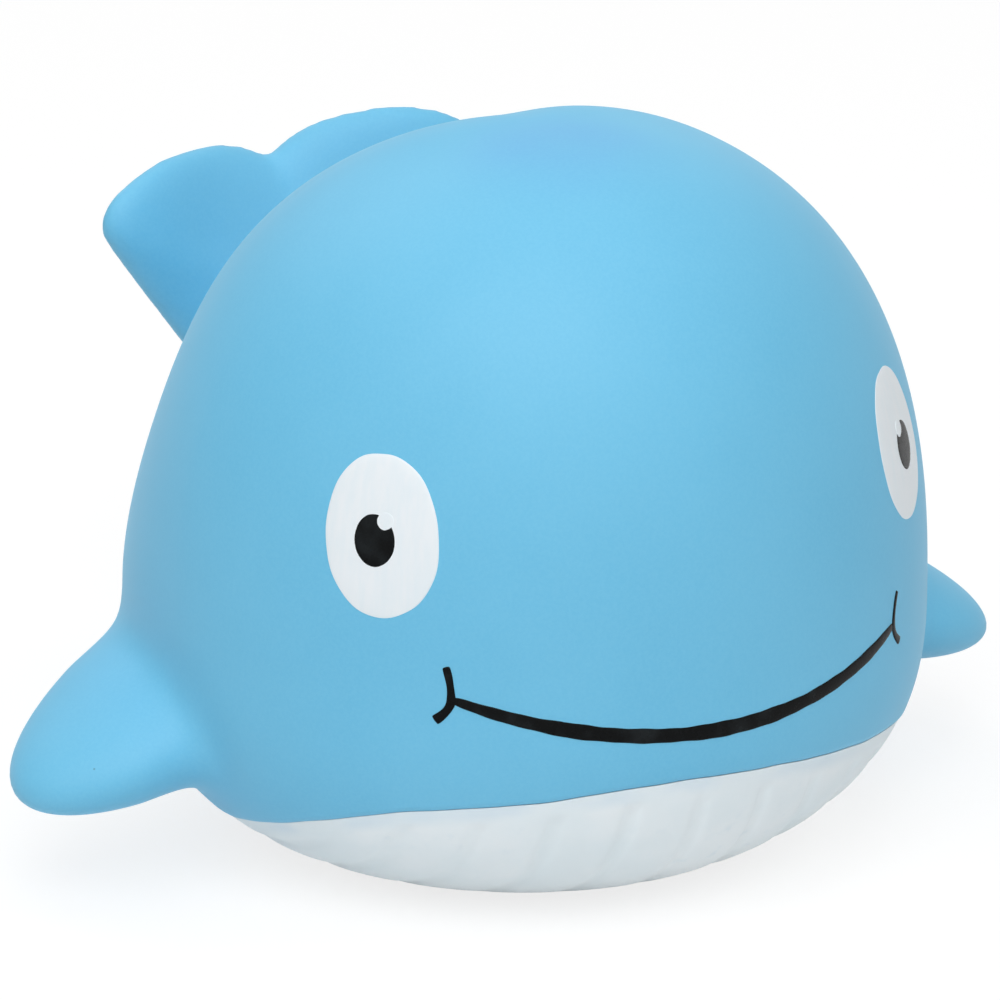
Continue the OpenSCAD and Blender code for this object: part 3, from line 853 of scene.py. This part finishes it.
def pleat_tree(finish):
    """Grooves along the belly, even steps apart around the head, as deep as the pleat value says."""
    graph, wires, end = geometry_tree("belly_pleats", PLEATS)
    place = graph.add("GeometryNodeInputPosition")
    x = graph.add("ShaderNodeSeparateXYZ", {0: place}, out="X")
    share = graph.add("GeometryNodeInputNamedAttribute", {"Name": "pleat"}, data_type="FLOAT")
    head_share = larger(smaller((x - wires["middle shift"]) / wires["head radius"], 1.0), -1.0)
    around = head_share.math("ARCSINE", head_share)
    to_groove = around.math("PINGPONG", around, wires["pitch"] / 2) * wires["head radius"] * cosine(around)
    aside = to_groove / wires["groove width"]
    groove = wires["groove depth"] * share / (1 + aside * aside * aside * aside)
    normal = graph.add("GeometryNodeInputNormal")
    offset = graph.add("ShaderNodeVectorMath", {0: normal, "Scale": 0 - groove}, operation="SCALE")
    moved = graph.add("GeometryNodeSetPosition", {"Geometry": wires["Geometry"], "Offset": offset})
    finish_tree(graph, moved, end, finish)
    return graph.tree


def make_belly(finish):
    turn = np.arange(BELLY_SIDES) / BELLY_SIDES * math.tau
    rings, outer_rows = belly_rings(turn)
    rows = len(rings)
    points = rings.reshape(-1, 3)
    mesh = mesh_of("belly", points, ring_faces(rows, BELLY_SIDES, closed=True))
    bm = bmesh.new()
    bm.from_mesh(mesh)
    bmesh.ops.recalc_face_normals(bm, faces=bm.faces)
    bm.to_mesh(mesh)
    bm.free()
    below_line = -over_line(points)
    outer = np.arange(len(points)) < (outer_rows + 1) * BELLY_SIDES
    share = outer * step_between(PLEAT_START, PLEAT_FULL, below_line)
    share = share * step_between(RIM_H, 4 * RIM_H, points[:, 2])
    mesh.attributes.new("pleat", "FLOAT", "POINT").data.foreach_set("value", share)
    mesh.attributes.new("below_line", "FLOAT", "POINT").data.foreach_set("value", below_line)
    belly = run_tree(new_object("belly", mesh), pleat_tree(finish), PLEATS)
    smooth_faces(belly)
    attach(belly, "body")
    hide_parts("belly_pan")


# Face paint: films that reach a little way into what is under them

SUNK = 0.06 * MM
PAINT_CREASE = math.radians(70)
DAB_EDGE_POWER = 8
OVAL_WAVES = ((3, 0.6, 1.1), (5, 0.4, 4.0), (11, 0.25, 0.0))
EYES = {
    "right": {"turn": math.radians(-90 - 52.1), "height": 44.0 * MM, "lean": math.radians(7)},
    "left": {"turn": math.radians(-90 + 48.0), "height": 45.3 * MM, "lean": math.radians(11)},
}
EYE_W = 11.8 * MM
EYE_TALL = 16.1 * MM
EYE_POWER = 2.15
EYE_WAVER = 0.012
EYE_FILM = 0.12 * MM
PUPIL_W = 4.2 * MM
PUPIL_TALL = 5.2 * MM
PUPIL_OUT = 0.6 * MM
PUPIL_DROP = 0.4 * MM
PUPIL_WAVER = 0.01
PUPIL_FILM = 0.04 * MM
GLINT_D = 1.7 * MM
GLINT_IN = 1.0 * MM
GLINT_UP = 2.0 * MM
GLINT_WAVER = 0.03
GLINT_FILM = 0.02 * MM


def beside(turn, height, across):
    """The turn of a place that lies across from another on the skin."""
    return turn + across / skin_reach(BODY, np.asarray(turn), np.asarray(height))


def dab(name, turn, height, outline, under, film, finish, rings=14):
    """A round-edged dab of paint inside an outline of across and up, on top of what is under it."""
    sides = len(outline)
    share = np.sin(np.linspace(0, math.pi / 2, rings + 1))[1:]
    at_turn = beside(turn, height, share[:, None] * outline[:, 0])
    at_height = height + share[:, None] * outline[:, 1]
    lift = under + film * np.sqrt(np.maximum(0, 1 - share ** DAB_EDGE_POWER))[:, None] + 0 * at_turn
    top = on_skin(at_turn, at_height, lift)
    skirt = on_skin(at_turn[-1:], at_height[-1:], under - SUNK)
    middle = on_skin(np.full(2, turn), np.full(2, height), np.array([under + film, under - SUNK]))
    points = np.concatenate([top.reshape(-1, 3), skirt.reshape(-1, 3), middle])
    peak = (rings + 1) * sides
    faces = ring_faces(rings + 1, sides)
    faces += [(peak, i, (i + 1) % sides) for i in range(sides)]
    faces += [(peak + 1, rings * sides + (i + 1) % sides, rings * sides + i) for i in range(sides)]
    obj = new_object(name, outward(mesh_of(name, points, faces)), finish)
    smooth_faces(obj, PAINT_CREASE)
    return obj


def oval(width, tall, lean, waver, power=2.0, sides=144):
    """An oval that a hand painted: across and up from its middle. A power over 2 fills its corners."""
    angle = np.arange(sides) / sides * math.tau
    swell = 1 + waver * waves(angle, OVAL_WAVES)
    swell = swell / (np.abs(np.cos(angle)) ** power + np.abs(np.sin(angle)) ** power) ** (1 / power)
    x = width / 2 * np.cos(angle) * swell
    y = tall / 2 * np.sin(angle) * swell
    return np.stack([x * math.cos(lean) - y * math.sin(lean), x * math.sin(lean) + y * math.cos(lean)], -1)


def paint_on(obj, node, blended=False):
    """Fix a paint mark in place: a blended one has its placement baked into its points and keeps no parent,
    any other is attached to the body.
    """
    if blended:
        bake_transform(obj)
    else:
        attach(obj, "body")
    if node:
        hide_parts(node)


def make_eyes(white, black):
    for side, sign in (("right", -1), ("left", 1)):
        eye = EYES[side]
        turn, height, lean = eye["turn"], eye["height"], eye["lean"]
        outline = oval(EYE_W, EYE_TALL, lean, EYE_WAVER, EYE_POWER)
        paint_on(dab(side + "_eye_white_film", turn, height, outline, 0.0, EYE_FILM, white),
                 side + "_eye_white", blended=True)
        pupil_turn = float(beside(turn, height, sign * PUPIL_OUT))
        pupil_h = height - PUPIL_DROP
        paint_on(dab(side + "_pupil_dab", pupil_turn, pupil_h, oval(PUPIL_W, PUPIL_TALL, lean, PUPIL_WAVER),
                     EYE_FILM, PUPIL_FILM, black), side + "_pupil", blended=True)
        glint_turn = float(beside(turn, height, sign * (PUPIL_OUT - GLINT_IN)))
        glint = dab(side + "_glint_dab", glint_turn, pupil_h + GLINT_UP,
                    oval(GLINT_D, GLINT_D, 0, GLINT_WAVER), EYE_FILM + PUPIL_FILM, GLINT_FILM, white)
        paint_on(glint, "eye_glints" if side == "left" else None, blended=True)


SMILE_H = 23.2 * MM
SMILE_W = 1.6 * MM
SMILE_END_W = 1.0 * MM
SMILE_FILM = 0.12 * MM
SMILE_WAVES = ((9, 0.05, 0.5), (23, 0.04, 2), (57, 0.03, 0))
CORNERS = {
    "right": {"sign": -1, "turn": math.radians(41.1), "rise": 4.8 * MM,
              "width": 0.95 * MM, "flare": 0.15, "bow": 0.55 * MM},
    "left": {"sign": 1, "turn": math.radians(40.3), "rise": 4.3 * MM,
             "width": 0.75 * MM, "flare": 0.25, "bow": 0.9 * MM},
}
CORNER_UP = 3.4 * MM
CORNER_DOWN = 2.3 * MM
CORNER_BOW_LOW = 1.7 * MM
CORNER_MID_SHARE = 0.9
CORNER_WAVES = ((7, 0.07, 1),)
EDGE_ROUND_POWER = 0.6
END_BLUNT_POWER = 60


def stroke(name, turn, height, width, finish, across=13):
    """A brush stroke along a path on the skin, with rounded edges and ends."""
    count = len(turn)
    reach = skin_reach(BODY, turn, height)
    run = np.stack([np.gradient(turn) * reach, np.gradient(height)], -1)
    run /= np.linalg.norm(run, axis=1)[:, None]
    angle = np.linspace(0, math.tau, 2 * across, endpoint=False)
    side = np.cos(angle)
    lift = np.where(np.sin(angle) >= 0, SMILE_FILM * np.abs(np.sin(angle)) ** EDGE_ROUND_POWER, -SUNK)
    ends = np.linspace(-1, 1, count)
    blunt = np.sqrt(np.maximum(0, 1 - np.abs(ends) ** END_BLUNT_POWER))
    aside = width[:, None] / 2 * blunt[:, None] * side
    at_turn = turn[:, None] - aside * run[:, 1:] / reach[:, None]
    at_height = height[:, None] + aside * run[:, :1]
    points = on_skin(at_turn, at_height, lift * blunt[:, None] - SUNK * (1 - blunt[:, None]))
    faces = ring_faces(count, 2 * across)
    caps = [tuple(range(2 * across)), tuple(range((count - 1) * 2 * across, count * 2 * across))[::-1]]
    obj = new_object(name, outward(mesh_of(name, points.reshape(-1, 3), faces + caps)), finish)
    smooth_faces(obj, PAINT_CREASE)
    return obj


def make_smile(black):
    """The smile from its right end to its left, and a tick across each end."""
    right, left = CORNERS["right"], CORNERS["left"]
    t = np.linspace(-1, 1, 321)
    turn = -math.pi / 2 + np.where(t < 0, right["turn"], left["turn"]) * t
    height = SMILE_H + np.where(t < 0, right["rise"], left["rise"]) * t * t
    width = (SMILE_END_W + (SMILE_W - SMILE_END_W) * (1 - np.abs(t) ** 3)) * (1 + waves(t, SMILE_WAVES))
    paint_on(stroke("smile_brush_line", turn, height, width, black), "smile_line")
    t = np.linspace(-1, 1, 81)
    for side, corner in CORNERS.items():
        bow = np.where(t < 0, corner["bow"], CORNER_BOW_LOW) * t * t
        corner_h = SMILE_H + corner["rise"]
        turn = beside(-math.pi / 2 + corner["sign"] * corner["turn"], corner_h, corner["sign"] * bow)
        height = corner_h - t * np.where(t < 0, CORNER_UP, CORNER_DOWN)
        width = corner["width"] * (CORNER_MID_SHARE + corner["flare"] * t + waves(t, CORNER_WAVES))
        tick = stroke(side + "_smile_tick", turn, height, width, black)
        paint_on(tick, "smile_corners" if side == "left" else None)


def finish_squeaker():
    """The squeaker's solids keep their shape and get their finish."""
    plastic = squeaker_plastic()
    brass = reed_brass()
    for name, finish in (("squeaker_plug", plastic), ("reed_seat", plastic), ("reed_clamp", plastic),
                         ("vent_cap", plastic), ("reed_foot", brass), ("reed_tongue", brass)):
        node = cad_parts[name]
        node.data.materials.clear()
        node.data.materials.append(finish)


# Studio

VIEW_AZIMUTH = math.radians(-28.28)
VIEW_ELEVATION = math.radians(18.42)
VIEW_DISTANCE = 760 * MM
VIEW_TARGET = Vector((-3.2 * MM, 2.1 * MM, 36.0 * MM))
VIEW_LENS = 265.2


def make_camera():
    data = bpy.data.cameras.new("camera")
    data.sensor_width = 36
    data.lens = VIEW_LENS
    data.clip_start = 0.01
    camera = bpy.data.objects.new("camera", data)
    bpy.context.scene.collection.objects.link(camera)
    away = Vector((math.sin(VIEW_AZIMUTH) * math.cos(VIEW_ELEVATION),
                   -math.cos(VIEW_AZIMUTH) * math.cos(VIEW_ELEVATION), math.sin(VIEW_ELEVATION)))
    camera.location = VIEW_TARGET + away * VIEW_DISTANCE
    camera.rotation_euler = (-away).to_track_quat("-Z", "Y").to_euler()
    bpy.context.scene.camera = camera


AMBIENT = 0.02
SEEN_WHITE = 1.0
LAMP_AIM = Vector((0, 0, 30 * MM))
# Each lamp has its place in metres, its width in metres and its power in watts
LAMPS = (
    ("top_lamp", (0.0, 0.0, 1.3), 1.0, 3.8),
    ("left_lamp", (-0.85, -0.25, 0.9), 0.9, 3.3),
    ("front_lamp", (-0.3, -1.0, 0.7), 0.9, 3.7),
    ("high_front_lamp", (-0.45, -0.75, 1.15), 0.9, 6.1),
    ("right_lamp", (0.75, -0.5, 0.85), 0.9, 2.3),
    ("back_lamp", (-0.2, 0.9, 0.9), 0.9, 2.9),
    ("right_back_lamp", (0.7, 0.6, 0.9), 0.9, 1.0),
)
FLOOR_TONE = (0.88, 0.88, 0.88, 1)
FLOOR_GLOW = 0.7
FLOOR_WHITE = 1.12
FLOOR_HALF = 3.0
FLOOR_DROP = 0.05 * MM


def lamp(name, place, width, power):
    data = bpy.data.lights.new(name, "AREA")
    data.shape = "DISK"
    data.size = width
    data.energy = power
    light = bpy.data.objects.new(name, data)
    light.location = place
    light.rotation_euler = (LAMP_AIM - Vector(place)).to_track_quat("-Z", "Y").to_euler()
    bpy.context.scene.collection.objects.link(light)


def seen(graph):
    """1 for a ray that shows the surroundings: from the camera, off a gloss or through clear stuff."""
    direct = graph.add("ShaderNodeLightPath", out="Is Camera Ray")
    glossy = graph.add("ShaderNodeLightPath", out="Is Glossy Ray")
    through = graph.add("ShaderNodeLightPath", out="Is Transmission Ray")
    return larger(larger(direct, glossy), through)


def make_room():
    """Even white light from all round, seen as plain white."""
    world = bpy.data.worlds.new("room")
    bpy.context.scene.world = world
    world.use_nodes = True
    graph = Graph(world.node_tree)
    back = world.node_tree.nodes["Background"]
    strength = AMBIENT + seen(graph) * (SEEN_WHITE - AMBIENT)
    graph.tree.links.new(strength.output, back.inputs["Strength"])
    back.inputs["Color"].default_value = (1, 1, 1, 1)


def make_floor():
    """A pale floor that keeps a soft shadow and is lit up to white for the camera."""
    sides = ((-1, -1), (1, -1), (1, 1), (-1, 1))
    corners = [(x * FLOOR_HALF, y * FLOOR_HALF, -FLOOR_DROP) for x, y in sides]
    mesh = mesh_of("floor", corners, [(0, 1, 2, 3)])
    made, graph, shader = material("floor")[:3]
    feed(graph, shader, Base_Color=FLOOR_TONE, Roughness=0.9, Specular_IOR_Level=0.1)
    glow = graph.add("ShaderNodeEmission", {"Color": (1, 1, 1, 1), "Strength": FLOOR_WHITE})
    matt = Wire(graph, shader.outputs["BSDF"])
    lit = graph.add("ShaderNodeMixShader", {0: seen(graph) * FLOOR_GLOW, 1: matt, 2: glow})
    graph.tree.links.new(lit.output, made.node_tree.nodes["Material Output"].inputs["Surface"])
    new_object("floor", mesh, made)


def make_studio():
    make_room()
    make_floor()
    for name, place, width, power in LAMPS:
        lamp(name, place, width, power)
    bpy.context.scene.view_settings.view_transform = "Standard"


make_camera()
make_skin(blue_vinyl())
make_belly(belly_paint())
white = eye_paint()
black = black_paint()
make_eyes(white, black)
make_smile(black)
finish_squeaker()
make_studio()
